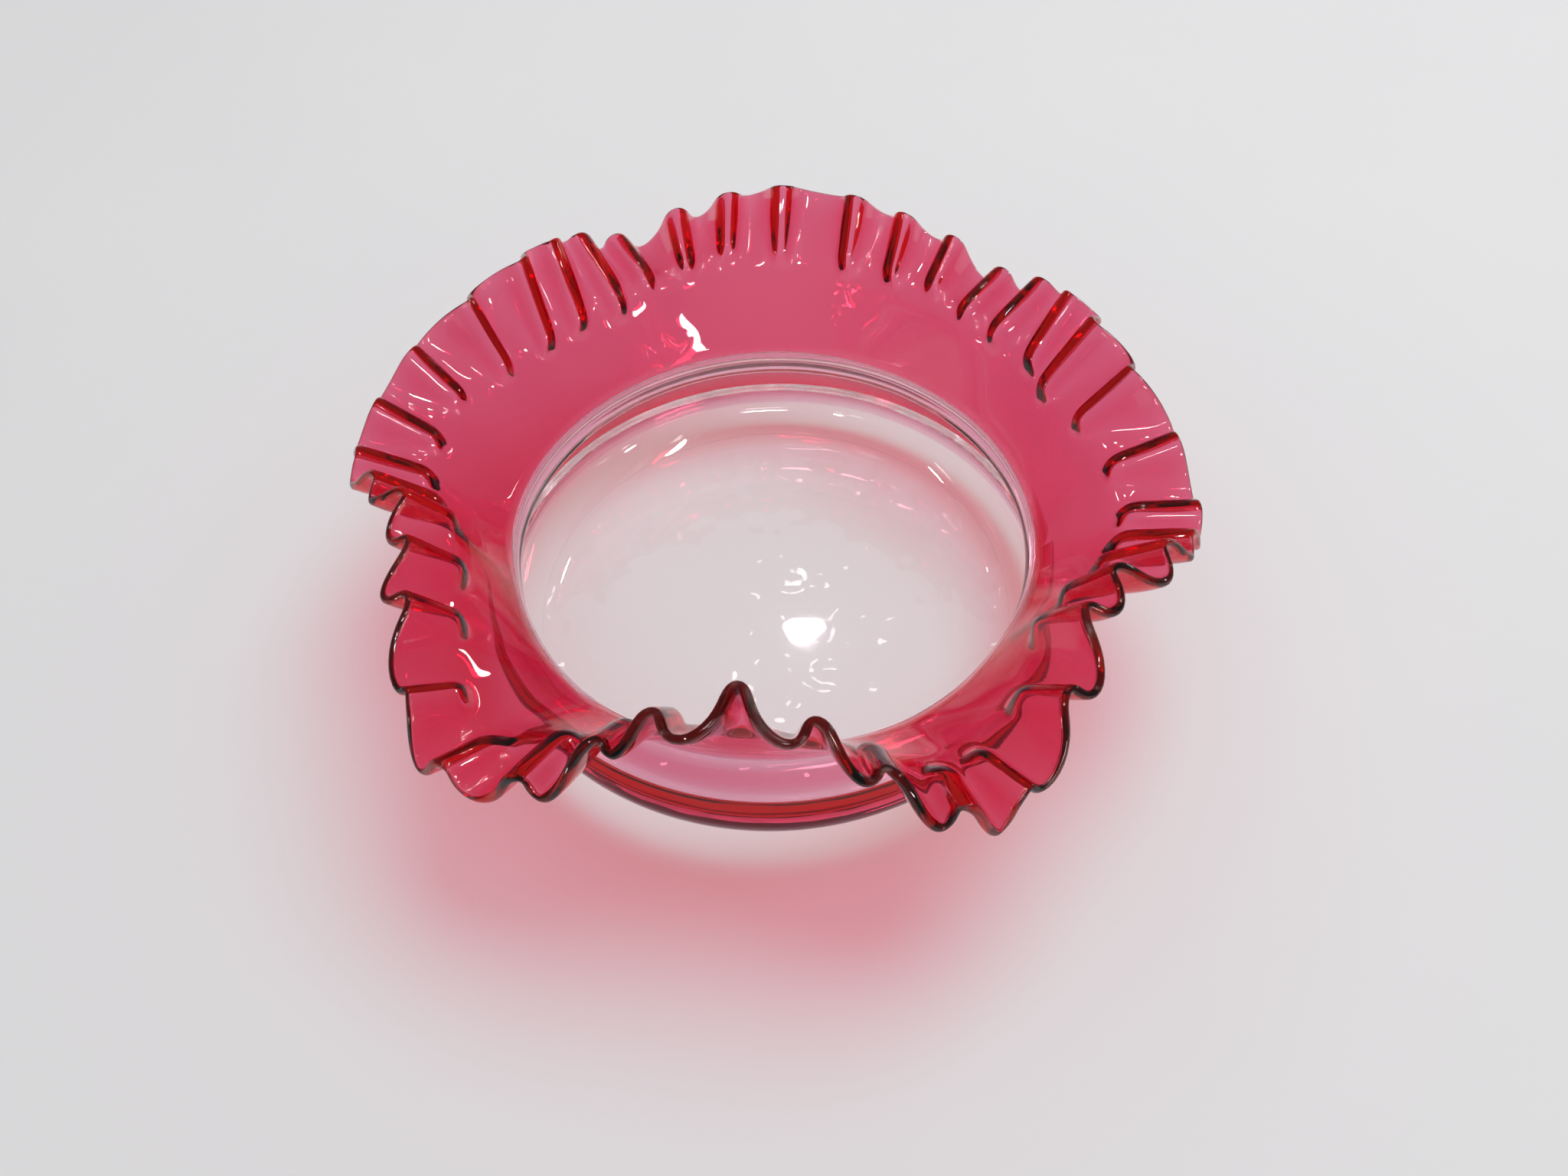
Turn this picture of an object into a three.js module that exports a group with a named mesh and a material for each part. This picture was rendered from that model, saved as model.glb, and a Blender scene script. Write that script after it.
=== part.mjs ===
// A blown cranberry glass bowl: a squat clear dish, a narrow waist, a flared ruby wall
// and a frill whose edge was pressed into crimps and then lifted in five broad folds.
// Millimetres and degrees. Z is the bowl's axis, +Z is up, and the foot stands on Z = 0.
import * as THREE from "three";

// Glass
const WALL = 2.6; // thickness of the blown wall
const LIP = 3; // thickness of the rim, which gathered when it was heated again
const LIP_RUN = 5; // the wall thickens over this length
const FOOT_THICKNESS = 4; // thickness of the flat foot

// Clear dish, with radii to the middle of its wall
const FOOT_RADIUS = 58; // flat that the bowl stands on
const BELLY_RADIUS = 75.2; // widest place
const BELLY_HEIGHT = 14;

// Waist, where the clear glass meets the ruby glass
const WAIST_RADIUS = 67;
const WAIST_HEIGHT = 27;
const WAIST_BAND = 3; // height of the waist ring
const WAIST_BEAD = 0.5; // how far the ring stands out of the wall

// Lengths along the slant of the flare, from the middle of the waist
const WAIST_TURN = 9; // the wall has turned out of the waist here
const SEAM = 20; // the flare ends and the frill begins
const BEND_START = 26; // the wall begins to bend into the slope of the rim
const BEND_END = 36;
const SLANT = 50; // rim

// Section of a finger: a round crown, straight flanks and round roots, to the middle of the wall
const CROWN_RADIUS = 2.5;
const ROOT_RADIUS = 2.4;
const FLANK = 1.2; // length of the straight flank
const FLANK_SLOPE = 72; // degrees
const FRILL_RADIUS = 95; // radius at which a finger's width is measured
const CLOSEST = 0.88; // most of the room between two fingers that their roots may take

// Fingers along the slant, and the valleys between them
const END_LENGTH = 5; // slant over which a finger's blunt end rises
const END_ROUNDING = 2; // how far the corners of the end lie back from its middle
const END_SHARE = 0.85; // rise of a finger at its blunt end, as a share of that at the rim
const GATHER = 6; // the wall draws together into fingers over this length ahead of them
const VALLEY = 4.4; // drop of a valley at the rim
const WIDE_PITCH = 8.5; // degrees; valleys between closer fingers are shallower
const VALLEY_LEAD = 3; // a valley begins this far ahead of the fingers beside it
const VALLEY_RUN = 2; // and is whole this far ahead of the rim

// Each finger's place round the rim in degrees, its length from the rim in to the middle of its
// blunt end, and how many degrees that end stands round from the place at the rim.
const FINGERS = [
  [9, 21, -0.5], [20.5, 23.5, -1], [28.5, 21, -3], [35.5, 21, -0.5],
  [43.5, 19, -0.5], [53.5, 16.5, -1], [63.5, 18.5, -1.5], [73, 19.5, -0.5],
  [86, 19, 0.5], [95.5, 17, 1.5], [104.5, 19, 1], [115.5, 20, -1],
  [122, 24, 0], [128.5, 23, 3], [136, 23, 3.5], [148, 21.5, 1.5],
  [158, 18, 1.5], [168.5, 18.5, 1], [178, 19.5, 0], [186, 19.5, 0],
  [193, 18, -0.5], [203, 20, 0], [211, 19, 0.5], [221, 15.5, 0.5],
  [228.5, 14, 1.5], [238.5, 19.5, 0], [246.5, 19.5, 0], [253, 19.5, 0],
  [264.5, 19.5, 0], [275.5, 19.5, 0], [283.5, 19.5, 0], [291, 15, 0.5],
  [298, 17, -1], [308, 18, -1], [317.5, 21.5, 1], [326.5, 19.5, 0],
  [336, 19.5, 0], [342.5, 19.5, 0], [349.5, 19.5, -0.5], [359, 19.5, -1.5],
];

// How the hot rim was lifted and let down. Each row gives a place round the rim, the slopes
// of the wall and of the rim there, all in degrees, and how much further the rim reaches out.
const FOLDS = [
  [0, 51, 19, -1.5],
  [14, 61, 53, -1],
  [26, 64, 43, 0],
  [45, 79, 5, -2],
  [57, 76, 27, -0.5],
  [86, 57, 49, 2],
  [104, 61, 17, 0],
  [114, 66, 0, -1],
  [131, 62, 55, 2],
  [145, 56, 57, 0.5],
  [160, 46, 30, 0],
  [177, 46, 24, 0],
  [196, 70, 54, -1],
  [213, 47, 53, -0.5],
  [226, 27, 13, 0],
  [238, 43, 13, -0.5],
  [252, 65, 53, 0],
  [265, 70, 73, 0.5],
  [277, 61, 56, 0.5],
  [288, 42, 24, 1],
  [296, 34, 1, -1],
  [306, 42, 40, -0.5],
  [322, 63, 58, 0],
  [334, 52, 44, 0.5],
  [348, 41, 3, -1.5],
];

// Fineness of the facets
const SIDES_PER_FINGER = 8; // columns of the frill from finger to finger
const ROOT_SIDES = 3; // of which this many from a finger's top to its root
const PLAIN_SIDES = 2; // columns of the smooth parts from finger to finger
const SLANT_STEPS = 40; // steps in which the slope is summed along the slant
const DISH_STEPS = 4; // rings up to the belly, and again up to the waist
const FLARE_STEPS = 3; // rings up the flare
const FRILL_STEPS = 3; // rings up the fingers from their blunt ends
const NUDGE = 1e-3; // step of the differences that give the wall's direction

const CLEAR_GLASS = { color: 0xe6ecec, roughness: 0.04, metalness: 0 };
const WAIST_GLASS = { color: 0xe9a9b8, roughness: 0.04, metalness: 0 };
const RUBY_GLASS = { color: 0xc22a4a, roughness: 0.04, metalness: 0 };

const radians = THREE.MathUtils.degToRad;
const mix = THREE.MathUtils.lerp;
const eased = (from, to, x) => THREE.MathUtils.smoothstep(x, from, to);

// A value of FOLDS at any place round the rim, partly eased between the rows.
function foldAt(azimuth, column) {
  const turn = THREE.MathUtils.euclideanModulo(azimuth, 360);
  const next = FOLDS.findIndex((row) => row[0] > turn);
  const after = next < 0 ? FOLDS[0] : FOLDS[next];
  const before = next < 1 ? FOLDS[FOLDS.length - 1] : FOLDS[next - 1];
  const span = THREE.MathUtils.euclideanModulo(after[0] - before[0], 360);
  const along = THREE.MathUtils.euclideanModulo(turn - before[0], 360) / span;
  return mix(before[column], after[column], (along + eased(0, 1, along)) / 2);
}

// Slope of the smooth flare, in radians: upright at the waist, then the wall's, then the rim's.
function slopeAt(azimuth, slant) {
  const wall = foldAt(azimuth, 1);
  const rim = foldAt(azimuth, 2);
  const lower = mix(90, wall, eased(0, WAIST_TURN, slant));
  return radians(lower + (rim - wall) * eased(BEND_START, BEND_END, slant));
}

// Radius, height and slope of the middle of the smooth flare.
function flareAt(azimuth, slant) {
  const reach = slant + foldAt(azimuth, 3) * eased(BEND_START, SLANT, slant);
  const step = reach / SLANT_STEPS;
  let radius = WAIST_RADIUS;
  let height = WAIST_HEIGHT;
  for (let k = 0; k < SLANT_STEPS; k += 1) {
    const slope = slopeAt(azimuth, (k + 0.5) * step);
    radius += Math.cos(slope) * step;
    height += Math.sin(slope) * step;
  }
  return { radius, height, slope: slopeAt(azimuth, reach) };
}

// Half of a finger's section, from its top at 0 to its root at 1: how far aside and how far up
// from the root a place on it lies.
function fingerSection(turned) {
  const bend = radians(FLANK_SLOPE);
  const crown = CROWN_RADIUS * bend;
  const root = ROOT_RADIUS * bend;
  const way = turned * (crown + FLANK + root);
  const over = Math.min(way / CROWN_RADIUS, bend);
  const down = THREE.MathUtils.clamp(way - crown, 0, FLANK);
  const left = Math.min((crown + FLANK + root - way) / ROOT_RADIUS, bend);
  return {
    aside:
      CROWN_RADIUS * Math.sin(over) +
      down * Math.cos(bend) +
      ROOT_RADIUS * (Math.sin(bend) - Math.sin(left)),
    rise:
      CROWN_RADIUS * (Math.cos(over) - Math.cos(bend)) +
      (FLANK - down) * Math.sin(bend) +
      ROOT_RADIUS * (1 - Math.cos(left)),
  };
}

// An S of two parabolas, which turns as evenly as its rise allows.
function ogee(from, to, x) {
  const t = THREE.MathUtils.clamp((x - from) / (to - from), 0, 1);
  return t < 0.5 ? 2 * t * t : 1 - 2 * (1 - t) ** 2;
}

// Slant of the middle of the blunt ends, from one finger over to the next.
function endAt(finger, share) {
  const next = FINGERS[(finger + 1) % FINGERS.length];
  return SLANT - mix(FINGERS[finger][1], next[1], eased(0, 1, share));
}

// Middle of the wall at a share of the way from one finger to the next and at a slant.
function middleAt(finger, share, slant) {
  const [from, , lean] = FINGERS[finger];
  const [to, , nextLean] = FINGERS[(finger + 1) % FINGERS.length];
  const pitch = THREE.MathUtils.euclideanModulo(to - from, 360);
  const end = endAt(finger, share);
  const along = THREE.MathUtils.clamp((slant - end) / (SLANT - end), 0, 1);

  // Across the finger that is nearer: evenly spread below the fingers, gathered in them.
  const away = share < 0.5 ? share : share - 1;
  const near = Math.abs(away);
  const width = (length) => THREE.MathUtils.radToDeg(length / FRILL_RADIUS);
  const tight = Math.min(1, (CLOSEST * pitch) / 2 / width(fingerSection(1).aside));
  const rootShare = ROOT_SIDES / SIDES_PER_FINGER;
  const section = fingerSection(Math.min(near / rootShare, 1));
  const beyond = THREE.MathUtils.clamp((near - rootShare) / (0.5 - rootShare), 0, 1);
  const aside = mix(tight * width(section.aside), pitch / 2, beyond);
  const gathered = eased(end - END_LENGTH / 2 - GATHER, end - END_LENGTH / 2, slant);
  const across = Math.sign(away) * mix(pitch * near, aside, gathered);

  // Up from the smooth flare: the finger's section less the sag of the valley.
  const corner = end + END_ROUNDING * Math.min(near / rootShare, 1) ** 2;
  const blunt = ogee(corner - END_LENGTH / 2, corner + END_LENGTH / 2, slant);
  const shoulder = tight * width(CROWN_RADIUS);
  const sag = 1 - (1 - THREE.MathUtils.clamp((aside - shoulder) / (pitch / 2 - shoulder), 0, 1)) ** 2;
  const valley = VALLEY * eased(end - VALLEY_LEAD, SLANT - VALLEY_RUN, slant);
  const roomy = Math.min(1, pitch / WIDE_PITCH) ** 2;
  const rise = tight * (blunt * mix(END_SHARE, 1, along) * section.rise) - roomy * valley * sag;

  const drift = mix(lean, nextLean, eased(0, 1, share)) * eased(WAIST_TURN, end, slant) * (1 - along);
  const azimuth = (share < 0.5 ? from : from + pitch) + across + drift;
  const { radius, height, slope } = flareAt(azimuth, slant);
  return around(azimuth, radius - rise * Math.sin(slope), height + rise * Math.cos(slope));
}

function around(azimuth, radius, height) {
  const turn = radians(azimuth);
  return new THREE.Vector3(radius * Math.cos(turn), radius * Math.sin(turn), height);
}

// A point of the glass's skin: half a wall outside (side 1) or inside (side -1) of the middle.
function skinAt(finger, share, slant, side) {
  const round = middleAt(finger, share + NUDGE, slant).sub(middleAt(finger, share - NUDGE, slant));
  const up = middleAt(finger, share, slant + NUDGE).sub(middleAt(finger, share, slant - NUDGE));
  const out = round.cross(up).normalize();
  const thick = mix(WALL, LIP, eased(SLANT - LIP_RUN, SLANT - LIP / 2, slant));
  return middleAt(finger, share, slant).addScaledVector(out, (side * thick) / 2);
}

// Every column of a ring, as a finger and a share of the way to the next one.
function columns(sides) {
  return FINGERS.flatMap((_, finger) =>
    Array.from({ length: sides }, (_, side) => ({ finger, share: side / sides })),
  );
}

function flareRing(slant, side, sides = PLAIN_SIDES) {
  return columns(sides).map(({ finger, share }) => skinAt(finger, share, slant, side));
}

function roundRing(radius, height) {
  return columns(PLAIN_SIDES).map(({ finger, share }) => {
    const [from] = FINGERS[finger];
    const [to] = FINGERS[(finger + 1) % FINGERS.length];
    const pitch = THREE.MathUtils.euclideanModulo(to - from, 360);
    return around(from + pitch * share, radius, height);
  });
}

// A closed skin, made of bands between rings that run the same way round.
class Skin {
  points = [];
  faces = [];

  ring(points) {
    const first = this.points.length;
    this.points.push(...points);
    return points.map((_, k) => first + k);
  }

  // Faces look out when the second ring lies above the first on an outer surface. The rings may
  // differ in fineness by a whole factor. With lean, the quads are split along the other
  // diagonal, so that the two sides of a seam have the same triangles.
  band(first, second, lean = false) {
    const few = Math.min(first.length, second.length);
    const times = Math.max(first.length, second.length) / few;
    for (let k = 0; k < few; k += 1) {
      const n = (k + 1) % few;
      if (first.length === second.length) {
        if (lean) this.faces.push([first[k], first[n], second[k]], [first[n], second[n], second[k]]);
        else this.faces.push([first[k], first[n], second[n]], [first[k], second[n], second[k]]);
        continue;
      }
      const fine = first.length > second.length ? first : second;
      const at = (j) => fine[(k * times + j) % fine.length];
      if (fine === second) this.faces.push([first[k], first[n], at(times)]);
      else this.faces.push([at(times), second[n], second[k]]);
      for (let j = 0; j < times; j += 1) {
        if (fine === second) this.faces.push([first[k], at(j + 1), at(j)]);
        else this.faces.push([at(j), at(j + 1), second[k]]);
      }
    }
  }

  // Bands along a run of rings.
  bands(rings) {
    rings.slice(1).forEach((ring, k) => this.band(rings[k], ring));
  }

  // A flat disc that closes a ring at the axis, looking down or up.
  disc(ring, height, up) {
    const [centre] = this.ring([new THREE.Vector3(0, 0, height)]);
    ring.forEach((point, k) => {
      const next = ring[(k + 1) % ring.length];
      this.faces.push(up ? [centre, point, next] : [centre, next, point]);
    });
  }

  mesh(name, finish) {
    const geometry = new THREE.BufferGeometry().setFromPoints(this.points);
    geometry.setIndex(this.faces.flat());
    geometry.computeVertexNormals();
    const mesh = new THREE.Mesh(geometry, new THREE.MeshStandardMaterial(finish));
    mesh.name = name;
    return mesh;
  }
}

const steps = (from, to, count) => Array.from({ length: count + 1 }, (_, k) => mix(from, to, k / count));

// Middle of the dish wall between belly and waist: an even S that is upright at both ends.
function shoulderRing(share, side) {
  const top = WAIST_HEIGHT - WAIST_BAND / 2;
  const height = mix(BELLY_HEIGHT, top, share);
  const swing = (BELLY_RADIUS - WAIST_RADIUS) / 2;
  const radius = WAIST_RADIUS + swing * (1 + Math.cos(Math.PI * share));
  const lean = (-swing * Math.PI * Math.sin(Math.PI * share)) / (top - BELLY_HEIGHT);
  const out = new THREE.Vector2(1, -lean).normalize().multiplyScalar((side * WALL) / 2);
  return roundRing(radius + out.x, height + out.y);
}

// Quarter ellipse from the flat foot up to the belly.
function heelRing(share, side) {
  const turn = (Math.PI / 2) * share;
  const floor = side > 0 ? 0 : FOOT_THICKNESS;
  const reach = BELLY_RADIUS + (side * WALL) / 2 - FOOT_RADIUS;
  const height = mix(floor, BELLY_HEIGHT, 1 - Math.cos(turn));
  return roundRing(FOOT_RADIUS + reach * Math.sin(turn), height);
}

// Flat round foot of the clear dish.
function flatFoot() {
  const skin = new Skin();
  const bottom = skin.ring(heelRing(0, 1));
  const top = skin.ring(heelRing(0, -1));
  skin.disc(bottom, 0, false);
  skin.band(bottom, top);
  skin.disc(top, FOOT_THICKNESS, true);
  return skin.mesh("flat_foot", CLEAR_GLASS);
}

// Closes a piece that is a hoop: up the outside, over the top, down the inside.
function hoop(name, finish, outside, edge, inside) {
  const skin = new Skin();
  const up = outside.map((ring) => skin.ring(ring));
  const over = edge.map((ring) => skin.ring(ring));
  const down = inside.map((ring) => skin.ring(ring)).reverse();
  skin.bands([...up, ...over, ...down]);
  skin.band(down[down.length - 1], up[0], true);
  return skin.mesh(name, finish);
}

// Clear wall from the foot out to the widest place.
function dishBelly() {
  const side = (sign) => steps(0, 1, DISH_STEPS).map((share) => heelRing(share, sign));
  return hoop("dish_belly", CLEAR_GLASS, side(1), [], side(-1));
}

// Clear wall from the widest place in to the waist.
function dishShoulder() {
  const side = (sign) => steps(0, 1, DISH_STEPS).map((share) => shoulderRing(share, sign));
  return hoop("dish_shoulder", CLEAR_GLASS, side(1), [], side(-1));
}

// Narrow ring of pale glass at the waist, fused to the dish below and the flare above.
function waistRing() {
  const outside = [
    shoulderRing(1, 1),
    roundRing(WAIST_RADIUS + WALL / 2 + WAIST_BEAD, WAIST_HEIGHT),
    flareRing(WAIST_BAND / 2, 1),
  ];
  const inside = [shoulderRing(1, -1), flareRing(WAIST_BAND / 2, -1)];
  return hoop("waist_ring", WAIST_GLASS, outside, [], inside);
}

// Ruby wall from the waist ring out to the frill.
function flaredWall() {
  const slants = [WAIST_BAND / 2, ...steps(WAIST_TURN / 2, SEAM, FLARE_STEPS)];
  const side = (sign) => slants.map((slant) => flareRing(slant, sign));
  return hoop("flared_wall", RUBY_GLASS, side(1), [], side(-1));
}

// A ring of the frill: its slant at each column follows the blunt ends of the fingers.
function frillRing(slantOver, side, sides = SIDES_PER_FINGER) {
  return columns(sides).map(({ finger, share }) =>
    skinAt(finger, share, slantOver(endAt(finger, share)), side),
  );
}

// Ruby frill: its inner seam is as smooth as the flare, and its edge is fire-rounded.
function crimpedFrill() {
  const rim = SLANT - LIP / 2;
  const side = (sign) => [
    flareRing(SEAM, sign),
    frillRing((end) => mix(SEAM, end - END_LENGTH / 2, 0.5), sign, PLAIN_SIDES),
    frillRing((end) => end - END_LENGTH / 2, sign),
    frillRing((end) => end, sign),
    ...steps(0, 1, FRILL_STEPS).map((along) =>
      frillRing((end) => mix(end + END_LENGTH / 2, rim, along), sign),
    ),
  ];
  const edge = columns(SIDES_PER_FINGER).map(({ finger, share }) =>
    middleAt(finger, share, SLANT),
  );
  return hoop("crimped_frill", RUBY_GLASS, side(1), [edge], side(-1));
}

const bowl = new THREE.Group();
bowl.add(flatFoot(), dishBelly(), dishShoulder(), waistRing(), flaredWall(), crimpedFrill());
export default bowl;
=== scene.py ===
# %% [markdown]
# # A blown cranberry glass bowl
# The bowl is one blown piece of two glasses: a squat clear dish below, and a ruby wall that
# flares out of its waist and ends in a crimped, folded frill. The solid model gives the sizes.
# Here each glass becomes one fine closed mesh. A closed mesh matters for glass, because light
# bends where it enters and leaves, and the ruby colour grows with the way between the two.

# %% Load the solid model
import math

import bpy
import numpy as np
from mathutils import Matrix, Vector


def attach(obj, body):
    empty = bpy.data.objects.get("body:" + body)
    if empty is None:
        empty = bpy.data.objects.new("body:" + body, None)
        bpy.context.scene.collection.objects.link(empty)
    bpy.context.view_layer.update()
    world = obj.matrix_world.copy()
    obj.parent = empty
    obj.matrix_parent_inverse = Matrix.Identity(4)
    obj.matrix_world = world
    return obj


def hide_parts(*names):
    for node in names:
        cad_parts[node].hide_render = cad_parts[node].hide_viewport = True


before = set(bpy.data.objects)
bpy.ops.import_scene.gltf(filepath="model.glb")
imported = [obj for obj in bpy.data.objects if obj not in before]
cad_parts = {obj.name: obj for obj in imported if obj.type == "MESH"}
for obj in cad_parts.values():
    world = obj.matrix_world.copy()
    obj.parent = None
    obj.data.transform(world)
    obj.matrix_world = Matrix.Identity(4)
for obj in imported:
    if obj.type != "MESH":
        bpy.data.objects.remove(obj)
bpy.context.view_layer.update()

# %% [markdown]
# ## Sizes
# The driving sizes are those of the solid model, in millimetres and degrees. They are turned
# into metres only when a mesh is made. Each finger of the frill has its own place round the rim.
# The folds are a table, because a hot rim that was lifted by hand follows no formula. Degrees
# run round the bowl from the right, by way of the back, to the left and the front.

# %% Driving sizes
MM = 0.001
WALL, LIP, LIP_RUN = 2.6, 2.3, 5  # thickness, and how far below the rim the wall thins
FOOT_THICKNESS = 4
FOOT_RADIUS = 58
BELLY_RADIUS, BELLY_HEIGHT = 75.2, 14
WAIST_RADIUS, WAIST_HEIGHT = 67, 27
WAIST_TURN = 9  # length over which the upright waist turns into the flare

# Lengths along the slant of the wall, from the waist: the second bend, and the rim.
BEND_START, BEND_END, SLANT = 26, 36, 50

# A finger's section: its two arcs, and the straight flank between them.
CROWN_RADIUS, ROOT_RADIUS = 2.5, 2.4
FLANK, FLANK_SLOPE = 1.2, 72
FRILL_RADIUS = 95  # where its width is turned into degrees
CLOSEST = 0.88     # the most of its pitch that it may fill

# Its inner end: length, rounding, height against the rim's, and where its columns gather.
END_LENGTH, END_ROUNDING, END_SHARE, GATHER = 5, 2, 0.85, 6

# The valley between two fingers: depth, the pitch that is wide enough for all of it, how far
# before the fingers it starts, and how far before the rim it is full.
VALLEY, WIDE_PITCH, VALLEY_LEAD, VALLEY_RUN = 4.4, 8.5, 3, 2
ROOT_SHARE = 3 / 8  # of the way between two fingers, from a finger's top to its root

# Place round the rim, length in from the rim, and how far round the inner end leans.
FINGERS = np.array([
    [9, 21, -0.5], [20.5, 23.5, -1], [28.5, 21, -3], [35.5, 21, -0.5],
    [43.5, 19, -0.5], [53.5, 16.5, -1], [63.5, 18.5, -1.5], [73, 19.5, -0.5],
    [86, 19, 0.5], [95.5, 17, 1.5], [104.5, 19, 1], [115.5, 20, -1],
    [122, 24, 0], [128.5, 23, 3], [136, 23, 3.5], [148, 21.5, 1.5],
    [158, 18, 1.5], [168.5, 18.5, 1], [178, 19.5, 0], [186, 19.5, 0],
    [193, 18, -0.5], [203, 20, 0], [211, 19, 0.5], [221, 15.5, 0.5],
    [228.5, 14, 1.5], [238.5, 19.5, 0], [246.5, 19.5, 0], [253, 19.5, 0],
    [264.5, 19.5, 0], [275.5, 19.5, 0], [283.5, 19.5, 0], [291, 15, 0.5],
    [298, 17, -1], [308, 18, -1], [317.5, 21.5, 1], [326.5, 19.5, 0],
    [336, 19.5, 0], [342.5, 19.5, 0], [349.5, 19.5, -0.5], [359, 19.5, -1.5],
])

# Place round the rim, slope of the wall, slope of the rim, and how much further the rim reaches.
FOLDS = np.array([
    [0, 51, 19, -1.5],
    [14, 61, 53, -1],
    [26, 64, 43, 0],
    [45, 79, 5, -2],
    [57, 76, 27, -0.5],
    [86, 57, 49, 2],
    [104, 61, 17, 0],
    [114, 66, 0, -1],
    [131, 62, 55, 2],
    [145, 56, 57, 0.5],
    [160, 46, 30, 0],
    [177, 46, 24, 0],
    [196, 70, 54, -1],
    [213, 47, 53, -0.5],
    [226, 27, 13, 0],
    [238, 43, 13, -0.5],
    [252, 65, 53, 0],
    [265, 70, 73, 0.5],
    [277, 61, 56, 0.5],
    [288, 42, 24, 1],
    [296, 34, 1, -1],
    [306, 42, 40, -0.5],
    [322, 63, 58, 0],
    [334, 52, 44, 0.5],
    [348, 41, 3, -1.5],
])
print(len(FINGERS), "fingers, and folds drawn through", len(FOLDS), "places")

# %% [markdown]
# ## The shape of the wall
# A wall of even thickness is easiest to make from its middle: the middle is a formula of the
# place round the rim and of the length along the slant, and the two faces lie half a wall to
# either side of it. Modelling the crimps by hand with a sculpting brush would also work, but
# then the thickness, which sets how dark the ruby looks, would wander.

# %% Folds that run into each other
def eased(start, end, x):
    """A soft step from 0 at the start to 1 at the end."""
    t = np.clip((x - start) / (end - start), 0, 1)
    return t * t * (3 - 2 * t)


def mixed(a, b, share):
    return a + (b - a) * share


FOLD_GRID = np.arange(0, 360, 0.5)
FOLD_SOFTNESS = 1.5  # degrees over which the rows of the table run into each other


def soft_folds():
    """The table at every half degree, eased between its rows and then softened."""
    places = FOLDS[:, 0]
    after = np.searchsorted(places, FOLD_GRID, side="right") % len(places)
    before = (after - 1) % len(places)
    span = (places[after] - places[before]) % 360
    t = ((FOLD_GRID - places[before]) % 360) / span
    share = ((t + eased(0, 1, t)) / 2)[:, None]
    rows = mixed(FOLDS[before, 1:], FOLDS[after, 1:], share)
    away = (FOLD_GRID + 180) % 360 - 180
    weight = np.exp(-0.5 * (away / FOLD_SOFTNESS) ** 2)
    blur = np.fft.fft(weight / weight.sum())[:, None]
    return np.real(np.fft.ifft(np.fft.fft(rows, axis=0) * blur, axis=0))


FOLD_ROWS = soft_folds()
print("the rim's slopes span", round(float(np.ptp(FOLD_ROWS[:, 1]))), "degrees")


# %% Smooth flare
def fold_at(azimuth, column):
    """One column of the folds' table anywhere round the rim."""
    return np.interp(azimuth, FOLD_GRID, FOLD_ROWS[:, column - 1], period=360)


def slope_at(wall, rim, slant):
    """Slope of the wall: upright at the waist, then leaning, then bent once more at the rim."""
    lower = mixed(90, wall, eased(0, WAIST_TURN, slant))
    return np.radians(lower + (rim - wall) * eased(BEND_START, BEND_END, slant))


def flare_at(azimuth, slant, steps=60):
    """Radius, height and slope of the smooth wall at a length along its slant from the waist."""
    wall, rim = fold_at(azimuth, 1), fold_at(azimuth, 2)
    reach = slant + fold_at(azimuth, 3) * eased(BEND_START, SLANT, slant)
    step = reach / steps
    radius, height = np.full_like(slant, WAIST_RADIUS), np.full_like(slant, WAIST_HEIGHT)
    for k in range(steps):
        slope = slope_at(wall, rim, (k + 0.5) * step)
        radius = radius + np.cos(slope) * step
        height = height + np.sin(slope) * step
    return radius, height, slope_at(wall, rim, reach)


# %% [markdown]
# ## Crimps
# The tool that crimped the rim pushed narrow fingers up from below, and the hot glass sagged
# into rounded valleys between them. A finger's section is drawn with arcs, because a plain
# sine wave gives soft dunes instead of the narrow, steep-sided fingers that the tool left.

# %% Section and end of a finger
def finger_section(turned):
    """Way aside and rise above the root, from the top of a finger (0) to its root (1)."""
    bend = math.radians(FLANK_SLOPE)
    crown, root = CROWN_RADIUS * bend, ROOT_RADIUS * bend
    way = turned * (crown + FLANK + root)
    over = np.minimum(way / CROWN_RADIUS, bend)
    down = np.clip(way - crown, 0, FLANK)
    left = np.minimum((crown + FLANK + root - way) / ROOT_RADIUS, bend)
    aside = (CROWN_RADIUS * np.sin(over) + down * math.cos(bend)
             + ROOT_RADIUS * (math.sin(bend) - np.sin(left)))
    rise = (CROWN_RADIUS * (np.cos(over) - math.cos(bend)) + (FLANK - down) * math.sin(bend)
            + ROOT_RADIUS * (1 - np.cos(left)))
    return aside, rise


def ogee(start, end, x):
    """An S of two parabolas."""
    t = np.clip((x - start) / (end - start), 0, 1)
    return np.where(t < 0.5, 2 * t * t, 1 - 2 * (1 - t) ** 2)


def width(length):
    """Degrees that a length takes up round the frill."""
    return np.degrees(length / FRILL_RADIUS)


print("a full finger is", round(2 * float(finger_section(1.0)[0]), 1), "mm wide at its root")


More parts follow.
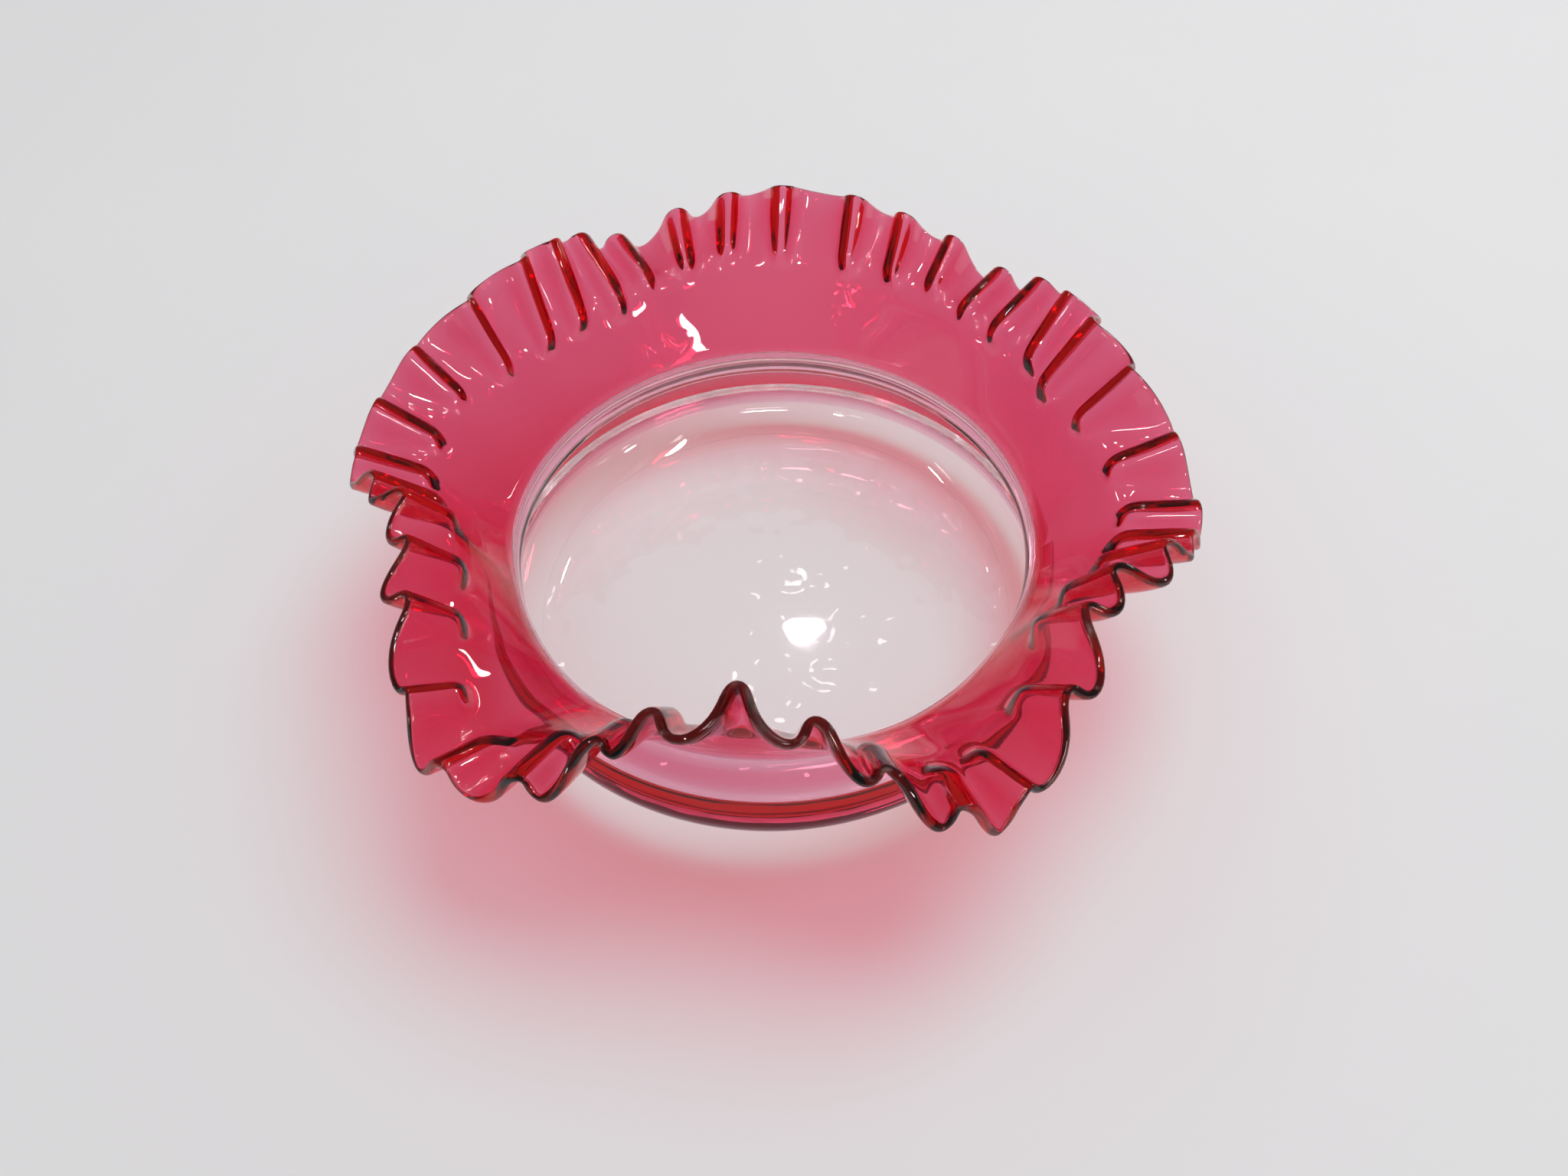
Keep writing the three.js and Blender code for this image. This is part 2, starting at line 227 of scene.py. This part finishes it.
# %% Crimped middle of the wall
def middle_at(finger, share, slant):
    """A point in the middle of the wall, at a share of the way from one finger to the next."""
    start, length, lean = np.moveaxis(FINGERS[finger], -1, 0)
    stop, next_length, next_lean = np.moveaxis(FINGERS[(finger + 1) % len(FINGERS)], -1, 0)
    pitch = (stop - start) % 360
    end = SLANT - mixed(length, next_length, eased(0, 1, share))
    along = np.clip((slant - end) / (SLANT - end), 0, 1)

    near = np.minimum(share, 1 - share)
    turned = np.minimum(near / ROOT_SHARE, 1)
    aside, rise = finger_section(turned)
    tight = np.minimum(1, CLOSEST * pitch / 2 / width(finger_section(1.0)[0]))
    beyond = np.clip((near - ROOT_SHARE) / (0.5 - ROOT_SHARE), 0, 1)
    aside = mixed(tight * width(aside), pitch / 2, beyond)
    gathered = eased(end - END_LENGTH / 2 - GATHER, end - END_LENGTH / 2, slant)
    across = np.where(share < 0.5, 1, -1) * mixed(pitch * near, aside, gathered)

    corner = end + END_ROUNDING * turned ** 2
    blunt = ogee(corner - END_LENGTH / 2, corner + END_LENGTH / 2, slant)
    shoulder = tight * width(CROWN_RADIUS)
    sag = 1 - (1 - np.clip((aside - shoulder) / (pitch / 2 - shoulder), 0, 1)) ** 2
    valley = VALLEY * eased(end - VALLEY_LEAD, SLANT - VALLEY_RUN, slant)
    roomy = np.minimum(1, pitch / WIDE_PITCH) ** 2
    rise = tight * blunt * mixed(END_SHARE, 1, along) * rise - roomy * valley * sag

    drift = mixed(lean, next_lean, eased(0, 1, share)) * eased(WAIST_TURN, end, slant) * (1 - along)
    azimuth = np.where(share < 0.5, start, start + pitch) + across + drift
    radius, height, slope = flare_at(azimuth, slant)
    radius, height = radius - rise * np.sin(slope), height + rise * np.cos(slope)
    turn = np.radians(azimuth)
    return np.stack([radius * np.cos(turn), radius * np.sin(turn), height], -1)


# %% [markdown]
# ## Skins
# The two faces and the fire-rounded lip are rows of points that all run round the bowl. One
# helper joins rows into a closed mesh. It is shorter than Solidify, and the lip stays round.
# Half a wall is more than the tightest bends can hold, so a face would cross itself there.
# Each face is evened out a little, as the fire did to the real one.

# %% Rows of points into a closed mesh
SHARP = 40  # degrees; a bend sharper than this isn't shaded smooth


def hoop_mesh(name, rows, closed=True):
    """A mesh from rows of points. Closed rows join the last to the first, as a tyre does."""
    rows = np.asarray(rows, float) * MM
    count, around = rows.shape[:2]
    index = np.arange(count * around).reshape(count, around)
    upper = index if closed else index[:-1]
    above = np.roll(index, -1, axis=0) if closed else index[1:]
    quads = np.stack([upper, np.roll(upper, -1, 1), np.roll(above, -1, 1), above], -1)
    mesh = bpy.data.meshes.new(name)
    points, faces = rows.reshape(-1, 3).tolist(), quads.reshape(-1, 4).tolist()
    if not closed:
        for row, flip in ((index[0], True), (index[-1], False)):
            points.append(rows.reshape(-1, 3)[row].mean(0).tolist())
            tip = len(points) - 1
            for a, b in zip(row.tolist(), np.roll(row, -1).tolist()):
                faces.append((tip, b, a) if flip else (tip, a, b))
    mesh.from_pydata(points, [], faces)
    mesh.shade_smooth()
    mesh.set_sharp_from_angle(angle=math.radians(SHARP))
    piece = bpy.data.objects.new(name, mesh)
    bpy.context.collection.objects.link(piece)
    print(name, len(mesh.vertices), "points")
    return piece


# %% Rows of the ruby wall's two faces
SIDES_PER_FINGER = 20
NUDGE = 1e-3        # a step aside or up, to find which way the wall faces
EVENING_ROUNDS = 4  # fewer leave a few crossings in the crimps


def evened(face):
    """A face with its tightest bends evened out, so that it doesn't cross itself there."""
    for _ in range(EVENING_ROUNDS):
        face = mixed(face, (np.roll(face, 1, 1) + np.roll(face, -1, 1)) / 2, 0.5)
        face[1:-1] = mixed(face[1:-1], (face[:-2] + face[2:]) / 2, 0.5)
    return face


def wall_rows(slants, thickness, side):
    """Rows of the ruby wall's outer (1) or inner (-1) face, and the direction up it."""
    finger = np.repeat(np.arange(len(FINGERS)), SIDES_PER_FINGER)[None, :]
    share = np.tile(np.arange(SIDES_PER_FINGER) / SIDES_PER_FINGER, len(FINGERS))[None, :]
    finger = np.broadcast_to(finger, (len(slants), finger.shape[1]))
    share = np.broadcast_to(share, finger.shape)
    slant = np.broadcast_to(np.asarray(slants, float)[:, None], finger.shape)
    middle = middle_at(finger, share, slant)
    around = middle_at(finger, share + NUDGE, slant) - middle
    up = middle_at(finger, share, slant + NUDGE) - middle
    out = np.cross(around, up)
    out /= np.linalg.norm(out, axis=-1, keepdims=True)
    up /= np.linalg.norm(up, axis=-1, keepdims=True)
    return evened(middle + side * out * np.asarray(thickness, float)[:, None, None] / 2), up


# %% [markdown]
# ## Where the two glasses meet
# The ruby was gathered over the clear glass. It is full at the flare, a thin skin over the
# shoulder, thick once more round the belly, and nothing at the heel. So the seam is a slope
# inside the wall. A level seam would shine like the underside of still water, and would
# ring the waist with a dark stripe. Inside, the glass is thickest at the heel. There it
# mirrors what comes down through the wall, which gives the deep red crescent at the front.

# %% Outer and inner face below the flare
CREASE = 30          # height of the crease outside, where the shoulder meets the flare
INNER_BELLY = 21     # the inside is widest higher up, so the glass is thickest at the heel
FACE_TRIES = 4       # rounds of looking for the slant whose face has a given height


def ellipse_at(height, middle, side, up):
    """How far out an ellipse lies at a height, from its middle."""
    return side * np.sqrt(np.clip(1 - ((height - middle) / up) ** 2, 0, 1))


def inner_radius(height):
    """Radius of the inner face of the dish at a height, up to the waist."""
    if height < INNER_BELLY:
        reach = BELLY_RADIUS - WALL / 2 - FOOT_RADIUS
        return FOOT_RADIUS + ellipse_at(height, INNER_BELLY, reach, INNER_BELLY - FOOT_THICKNESS)
    swing = (BELLY_RADIUS - WAIST_RADIUS) / 2
    share = min((height - INNER_BELLY) / (WAIST_HEIGHT - INNER_BELLY), 1)
    return WAIST_RADIUS - WALL / 2 + swing * (1 + math.cos(math.pi * share))


def outer_radius(height, crease):
    """Radius of the outer face, in an even arc over the shoulder to the crease."""
    belly = BELLY_RADIUS + WALL / 2
    if height < BELLY_HEIGHT:
        return FOOT_RADIUS + ellipse_at(height, BELLY_HEIGHT, belly - FOOT_RADIUS, BELLY_HEIGHT)
    up, across = CREASE - BELLY_HEIGHT, belly - crease
    radius = (up ** 2 + across ** 2) / (2 * across)
    return belly - radius + np.sqrt(radius ** 2 - (height - BELLY_HEIGHT) ** 2)


def face_row(height, side, azimuth):
    """A level row of the outer (1) or inner (-1) face, below or above the waist."""
    turn, level = np.radians(azimuth), np.full_like(azimuth, float(height))
    slant = level - WAIST_HEIGHT
    for _ in range(FACE_TRIES):  # nearer and nearer to the slant whose face has this height
        radius, at, slope = flare_at(azimuth, np.maximum(slant, 0))
        slant = slant + height - (at - side * WALL / 2 * np.cos(slope))
    radius = radius + side * WALL / 2 * np.sin(slope)
    if side > 0 and height < CREASE:
        crease = face_row(CREASE, 1, azimuth)
        radius = outer_radius(height, np.hypot(crease[:, 0], crease[:, 1]))
    elif side < 0 and height < WAIST_HEIGHT:
        radius = np.full_like(azimuth, inner_radius(height))
    return np.stack([radius * np.cos(turn), radius * np.sin(turn), level], -1)


def face_rows(low, high, side, azimuth, count):
    return [face_row(height, side, azimuth) for height in np.linspace(low, high, count)]


print("the inside is", round(2 * inner_radius(INNER_BELLY), 1), "mm wide at its belly")

# %% Seam
# Height, and how far in the seam lies there, as a share of the glass.
FADE = np.array([[7, 0], [9, 0.08], [11, 0.2], [13, 0.4], [15, 0.9], [20, 0.9], [22.5, 0.28],
                 [30, 0.28], [34, 1]])
FADE_LOW, FADE_HIGH = FADE[0, 0], FADE[-1, 0]
SEAM_ROWS, SEAM_TOP_ROWS = 21, 6
SEAM_GAP = 0.02  # between the two glasses, so that they never cross


def seam_rows(azimuth, gap):
    """Rows of the seam from its low end to its high one, moved in by a gap."""
    rows = []
    for height in np.concatenate([np.linspace(FADE_LOW, CREASE, SEAM_ROWS)[1:],
                                  np.linspace(CREASE, FADE_HIGH, SEAM_TOP_ROWS)[1:-1]]):
        share = np.interp(height, *FADE.T)
        row = mixed(face_row(height, 1, azimuth), face_row(height, -1, azimuth), share)
        row[:, :2] -= gap * row[:, :2] / np.hypot(row[:, 0], row[:, 1])[:, None]
        rows.append(row)
    return rows


# %% [markdown]
# ## Ruby wall and frill
# The rows go up the outside, over the fire-rounded lip, down the inside, and back inside the
# wall along the seam. The lip is half a circle, swept from one face to the other. A Bevel
# modifier could round it too, but its width would change from crimp to crimp.

# %% Ruby wall and frill
SHOULDER_ROWS, CREASE_ROWS = 18, 4
PLAIN_ROWS, FRILL_ROWS = 6, 30
PLAIN_START = FADE_HIGH - WAIST_HEIGHT + 2  # along the slant, a little above the seam
FRILL_START = 22                            # and just below the longest finger
LIP_STEPS = 7


def column_places():
    """Where the columns of the ruby wall stand round the bowl, below its fingers."""
    start = FINGERS[:, 0]
    pitch = (np.roll(start, -1) - start) % 360
    share = np.arange(SIDES_PER_FINGER) / SIDES_PER_FINGER
    return (start[:, None] + pitch[:, None] * share).ravel()


def ruby_wall():
    azimuth = column_places()
    last = SLANT - LIP / 2
    slants = np.concatenate([np.linspace(PLAIN_START, FRILL_START, PLAIN_ROWS, endpoint=False),
                             np.linspace(FRILL_START, last, FRILL_ROWS)])
    thickness = mixed(WALL, LIP, eased(SLANT - LIP_RUN, last, slants))
    (outer, up), (inner, _) = wall_rows(slants, thickness, 1), wall_rows(slants, thickness, -1)
    middle, half = (outer[-1] + inner[-1]) / 2, (outer[-1] - inner[-1]) / 2
    over = np.linalg.norm(half, axis=-1, keepdims=True) * up[-1]
    turns = np.pi * np.arange(1, LIP_STEPS) / LIP_STEPS
    lip = [middle + np.cos(t) * half + np.sin(t) * over for t in turns]
    outside = (face_rows(FADE_LOW, CREASE, 1, azimuth, SHOULDER_ROWS)
               + face_rows(CREASE, FADE_HIGH, 1, azimuth, CREASE_ROWS)[1:])
    tip = [face_row(FADE_HIGH, -1, azimuth)]
    return hoop_mesh("cranberry_wall", [*outside, *outer, *lip, *inner[::-1], *tip,
                                        *seam_rows(azimuth, 0)[::-1]])


cranberry_wall = ruby_wall()

# %% [markdown]
# ## Clear dish
# Up to the waist this is a turned shape, which Spin could sweep round the axis too. A flat foot
# runs into a quarter ellipse up to the belly, and inside an even S leads on to the waist. Above
# the heel its outer face is the seam, a hair's breadth within the ruby glass. Its rows come
# from the same helpers as the wall's, so that the two glasses fit each other all the way round.

# %% Clear dish, turned in one piece
AROUND = 320
EVEN = np.linspace(0, 360, AROUND, endpoint=False)
FLAT_ROWS, OUTER_HEEL_ROWS, INNER_HEEL_ROWS = 12, 16, 24
INNER_SHOULDER_ROWS, INNER_WAIST_ROWS = 20, 8
TIP_GAP = 0.5  # how far below the top of the seam the clear glass ends


def flat_rows(height):
    turn = np.radians(EVEN)
    return [np.stack([r * np.cos(turn), r * np.sin(turn), np.full(AROUND, float(height))], -1)
            for r in np.linspace(0, FOOT_RADIUS, FLAT_ROWS + 1)[1:]]


def heel_rows(side, top, count):
    """The quarter ellipse from the foot up to a height, closer together where it bends."""
    floor, belly = (0, BELLY_HEIGHT) if side > 0 else (FOOT_THICKNESS, INNER_BELLY)
    last = math.acos(1 - (top - floor) / (belly - floor))
    turns = np.linspace(0, last, count)[1:]
    return [face_row(mixed(floor, belly, 1 - math.cos(t)), side, EVEN) for t in turns]


def clear_dish():
    outside = flat_rows(0) + heel_rows(1, FADE_LOW - SEAM_GAP, OUTER_HEEL_ROWS)
    inside = (flat_rows(FOOT_THICKNESS) + heel_rows(-1, INNER_BELLY, INNER_HEEL_ROWS)
              + face_rows(INNER_BELLY, WAIST_HEIGHT, -1, EVEN, INNER_SHOULDER_ROWS)[1:]
              + face_rows(WAIST_HEIGHT, FADE_HIGH - TIP_GAP, -1, EVEN, INNER_WAIST_ROWS)[1:])
    rows = outside + seam_rows(EVEN, SEAM_GAP) + inside[::-1]
    return hoop_mesh("clear_dish", rows, closed=False)


dish = clear_dish()

# %% [markdown]
# ## Shader helpers
# Shader maths reads better as plain sums than as a page of links. A small class wraps a socket,
# and the sums on it add the Math nodes.

# %% Sockets that add up
class Shade:
    """One output of a shader node."""

    def __init__(self, finish, socket):
        self.finish, self.socket = finish, socket

    def __add__(self, other):
        return self.finish.maths("ADD", self, other)

    def __mul__(self, other):
        return self.finish.maths("MULTIPLY", self, other)

    __radd__, __rmul__ = __add__, __mul__


class Finish:
    """A material, built from nodes."""

    def __init__(self, name):
        self.material = bpy.data.materials.new(name)
        self.material.use_nodes = True
        self.tree = self.material.node_tree
        self.tree.nodes.clear()

    def node(self, kind, settings=None, sockets=None, out=0):
        """A node of a kind, with its settings and then its sockets' values or links."""
        made = self.tree.nodes.new(kind)
        for key, value in (settings or {}).items():
            setattr(made, key, value)
        for key, value in (sockets or {}).items():
            if isinstance(value, Shade):
                self.tree.links.new(value.socket, made.inputs[key])
            else:
                made.inputs[key].default_value = value
        return Shade(self, made.outputs[out])

    def maths(self, operation, first, second):
        return self.node("ShaderNodeMath", {"operation": operation}, {0: first, 1: second})

    def clouds(self, place, scale, detail):
        sockets = {"Vector": place, "Scale": scale, "Detail": detail}
        return self.node("ShaderNodeTexNoise", {}, sockets)

    def between(self, share, first, second):
        """A colour between two. The Mix node's colour sockets can only be told by number."""
        sockets = {"Factor": share, 6: (*first, 1), 7: (*second, 1)}
        return self.node("ShaderNodeMix", {"data_type": "RGBA"}, sockets, out=2)

    def done(self, sockets):
        output = self.tree.nodes.new("ShaderNodeOutputMaterial")
        for key, value in sockets.items():
            self.tree.links.new(value.socket, output.inputs[key])
        print(self.material.name, "has", len(self.tree.nodes), "nodes")
        return self.material


# %% [markdown]
# ## Glass
# Clear glass is Principled with full transmission. Ruby glass is the same with absorption in
# its volume, so that a thick lip or two walls behind each other go deep red by themselves.
# Painting the surface red would tint an edge and a flat wall alike. Rays towards the lamps, and
# rays that a matt surface sends out, pass a Transparent shader instead of the bending one,
# because light that bends never reaches a lamp: so the floor inside the bowl is lit once and
# the bowl throws a tinted shadow. A slow ripple bends the highlights, as blown glass does.

# %% Glass finish
SMUDGE_SCALE, WAVE_SCALE, CHILL_SCALE = 95.0, 52.0, 80.0
POLISH, SMUDGED = 0.01, 0.03  # roughness of a clean place, and what a smudge adds
BENDING = 1.5                 # index of refraction
BUMP_HEIGHT = 2 * MM
UNDERSIDE = 1 * MM            # everything lower belongs to the underside of the foot


def glass(name, light, dark, streak, ripple, foot=0.0, absorbs=None):
    """Glass whose surface colour runs between light and dark, with absorption per metre.

    The underside of the foot, which was pressed flat, can be wavier than the rest.
    """
    made = Finish(name)
    place = made.node("ShaderNodeTexCoord", out="Object")
    colour = made.between(made.clouds(place, streak, detail=2.0), dark, light)
    smudge = made.clouds(place, SMUDGE_SCALE, detail=3.0)
    height = made.clouds(place, WAVE_SCALE, detail=1.0) * ripple
    if foot:
        level = made.node("ShaderNodeSeparateXYZ", {}, {"Vector": place}, out="Z")
        under = made.maths("LESS_THAN", level, UNDERSIDE)
        chill = made.clouds(place, CHILL_SCALE, detail=1.0)
        height = height + chill * under * foot
    bump = made.node("ShaderNodeBump", {},
                     {"Height": height, "Strength": 1.0, "Distance": BUMP_HEIGHT})
    body = made.node("ShaderNodeBsdfPrincipled", {}, {
        "Base Color": colour, "Roughness": POLISH + SMUDGED * smudge, "IOR": BENDING,
        "Transmission Weight": 1.0, "Normal": bump,
    })
    straight = made.node("ShaderNodeBsdfTransparent", {}, {"Color": (*light, 1)})
    for kind in ("Is Shadow Ray", "Is Diffuse Ray"):
        path = made.node("ShaderNodeLightPath", out=kind)
        body = made.node("ShaderNodeMixShader", {}, {0: path, 1: body, 2: straight})
    sockets = {"Surface": body}
    if absorbs:
        most = max(absorbs)
        sockets["Volume"] = made.node("ShaderNodeVolumeAbsorption", {}, {
            "Color": (*(1 - rate / most for rate in absorbs), 1), "Density": most,
        })
    return made.done(sockets)


def absorption(colour, path):
    """Absorption per metre of a glass that lets this much of each colour through a path in mm."""
    return [-math.log(share) / (path * MM) for share in colour]


ruby = glass("ruby glass", light=(1.0, 1.0, 1.0), dark=(0.86, 0.62, 0.8), streak=16.0,
             ripple=0.13, absorbs=absorption(colour=(0.9, 0.12, 0.22), path=2.9))
clear = glass("clear glass", light=(1.0, 1.0, 1.0), dark=(0.97, 0.975, 0.97), streak=20.0,
              ripple=0.07, foot=0.25)

# %% [markdown]
# ## Pieces
# Each mesh takes its glass, rides on the one body of the bowl, and stands in for the zones of
# the solid model that it shows. Only two glasses were blown, so two pieces are enough.

# %% Pieces take their glass and their place
for piece, material, slot, nodes in (
    (cranberry_wall, ruby, "ruby_glass", ("waist_ring", "flared_wall", "crimped_frill")),
    (dish, clear, "clear_glass", ("flat_foot", "dish_belly", "dish_shoulder")),
):
    piece.data.materials.append(material)
    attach(piece, "root")
    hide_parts(*nodes)
    print(piece.name, "stands in for", *nodes)

# %% [markdown]
# ## Floor
# A plain pale floor shows what the glass does to the light: it tints the shadow and bends what
# is seen through the dish. The floor lies a hair's breadth below the foot, because two faces
# in one plane would show up as blotches.

# %% Floor
FLOOR_SIZE, FLOOR_GAP = 8, 0.0002


def floor_finish():
    made = Finish("pale floor")
    place = made.node("ShaderNodeTexCoord", out="Object")
    grain = made.clouds(place, scale=9.0, detail=4.0)
    colour = made.between(grain, (0.79, 0.79, 0.80), (0.82, 0.82, 0.825))
    body = made.node("ShaderNodeBsdfPrincipled", {}, {"Base Color": colour, "Roughness": 0.8})
    return made.done({"Surface": body})


bpy.ops.mesh.primitive_plane_add(size=FLOOR_SIZE, location=(0, 0, -FLOOR_GAP))
floor = bpy.context.object
floor.name = "floor"
floor.data.materials.append(floor_finish())

# %% [markdown]
# ## Surroundings
# A world can look different to each kind of ray. This one is pale to the camera and through the
# glass, but dark as a mirror image, so that the edges of the glass stay deep red. Panels round
# the bowl could do the same, but they would stand in the way of the lamps.

# %% Surroundings
world = bpy.data.worlds.new("surroundings")
bpy.context.scene.world = world
world.use_nodes = True
sky = world.node_tree
sky.nodes.clear()
path = sky.nodes.new("ShaderNodeLightPath")


def surroundings(grey):
    """The surroundings at one grey."""
    made = sky.nodes.new("ShaderNodeBackground")
    made.inputs["Color"].default_value = (grey, grey, grey * 1.01, 1)
    return made.outputs[0]


around = surroundings(0.5)
for kind, grey in (("Is Glossy Ray", 0.16), ("Is Transmission Ray", 0.7), ("Is Camera Ray", 0.8)):
    either = sky.nodes.new("ShaderNodeMixShader")
    sky.links.new(path.outputs[kind], either.inputs[0])
    sky.links.new(around, either.inputs[1])
    sky.links.new(surroundings(grey), either.inputs[2])
    around = either.outputs[0]
out = sky.nodes.new("ShaderNodeOutputWorld")
sky.links.new(around, out.inputs["Surface"])
print(world.name, "has", len(sky.nodes), "nodes")

# %% [markdown]
# ## Lamps
# One large soft lamp lights the bowl. It isn't mirrored, because its image would lie over the
# dish like milk. The small bright lamps are only there to be mirrored: their crisp images make
# the surface read as glass. A picture wrapped round the bowl would be mirrored too, but a few
# lamps are easier to move to the places where the real bowl shines.

# %% Lamps
LAMP_AIM = 0.03      # height in metres that every lamp looks at
MIRRORED_AWAY = 1.5  # how far off the mirrored lamps are


def lamp(name, azimuth, elevation, distance, size, power, mirrored=True, lights=True):
    """An area lamp that looks at the bowl. Azimuth runs from +X towards +Y."""
    light = bpy.data.lights.new(name, "AREA")
    light.shape, light.size, light.size_y = "ELLIPSE", *size
    light.energy = power
    holder = bpy.data.objects.new(name, light)
    turn, rise = math.radians(azimuth), math.radians(elevation)
    way = Vector((math.cos(turn) * math.cos(rise), math.sin(turn) * math.cos(rise), math.sin(rise)))
    holder.location = way * distance + Vector((0, 0, LAMP_AIM))
    holder.rotation_euler = way.to_track_quat("Z", "Y").to_euler()
    holder.visible_camera = False
    holder.visible_diffuse = lights
    holder.visible_glossy = holder.visible_transmission = mirrored
    bpy.context.collection.objects.link(holder)


lamp("soft lamp", azimuth=40, elevation=68, distance=1.7, size=(1.2, 1.2), power=14.5,
     mirrored=False)
for name, azimuth, elevation, size, power in (
    ("bulb", 88.3, 53.2, (0.065, 0.045), 0.8),
    ("high tube", 18, 76, (0.55, 0.04), 3),
    ("spot behind", 236, 47, (0.1, 0.05), 4),
    ("low front lamp", 305, 13, (0.55, 0.1), 4),
    ("low left lamp", 214, 4, (0.25, 0.06), 1.5),
    ("low right lamp", 30, 14, (0.35, 0.08), 2),
    ("far lamp", 272, 50, (0.4, 0.06), 3),
    ("side lamp", 335, 40, (0.12, 0.06), 2.5),
    ("second tube", 150, 62, (0.3, 0.03), 2),
    ("high spot", 105, 77, (0.1, 0.05), 2),
):
    lamp(name, azimuth, elevation, MIRRORED_AWAY, size, power, lights=False)
print(len(bpy.data.lights), "lamps")

# %% [markdown]
# ## Camera
# A short lens close to the bowl gives the strong perspective of a hand-held picture: the front
# of the frill looks much larger than the back. A long lens from far off would flatten it.

# %% Camera
LENS, SENSOR = 30.375, 36
PITCH, DISTANCE = math.radians(51.56), 347.6           # down on the waist, and away from it
ASIDE, RAISED, ROLL = 2.5, -12.3, math.radians(-2.21)  # held a little off centre and aslant
NEAREST_SEEN, FURTHEST_SEEN = 0.01, 30                 # in metres

camera = bpy.data.objects.new("camera", bpy.data.cameras.new("camera"))
bpy.context.collection.objects.link(camera)
camera.data.lens, camera.data.sensor_width = LENS, SENSOR
back = Vector((0, -math.cos(PITCH), math.sin(PITCH)))
right = Vector((1, 0, 0))
up = back.cross(right)
waist = Vector((0, 0, WAIST_HEIGHT))
camera.location = (back * DISTANCE + right * ASIDE + up * RAISED + waist) * MM
across = right * math.cos(ROLL) + up * math.sin(ROLL)
raised = up * math.cos(ROLL) - right * math.sin(ROLL)
camera.rotation_mode = "QUATERNION"
camera.rotation_quaternion = Matrix((across, raised, back)).transposed().to_quaternion()
camera.data.clip_start, camera.data.clip_end = NEAREST_SEEN, FURTHEST_SEEN
bpy.context.scene.camera = camera
print("camera", round(camera.location.length / MM), "mm from the middle of the foot")

# %% [markdown]
# ## Colour, light paths and size
# Light that runs round inside a glass wall turns many corners before it leaves, so it is
# followed for longer than usual. With fewer turns the rim and the waist would go black.

# %% Colour, light paths and size
TURNS = 32

bpy.context.scene.view_settings.view_transform = "Standard"
paths = bpy.context.scene.cycles
paths.max_bounces = paths.transmission_bounces = paths.transparent_max_bounces = TURNS
paths.glossy_bounces = TURNS // 2
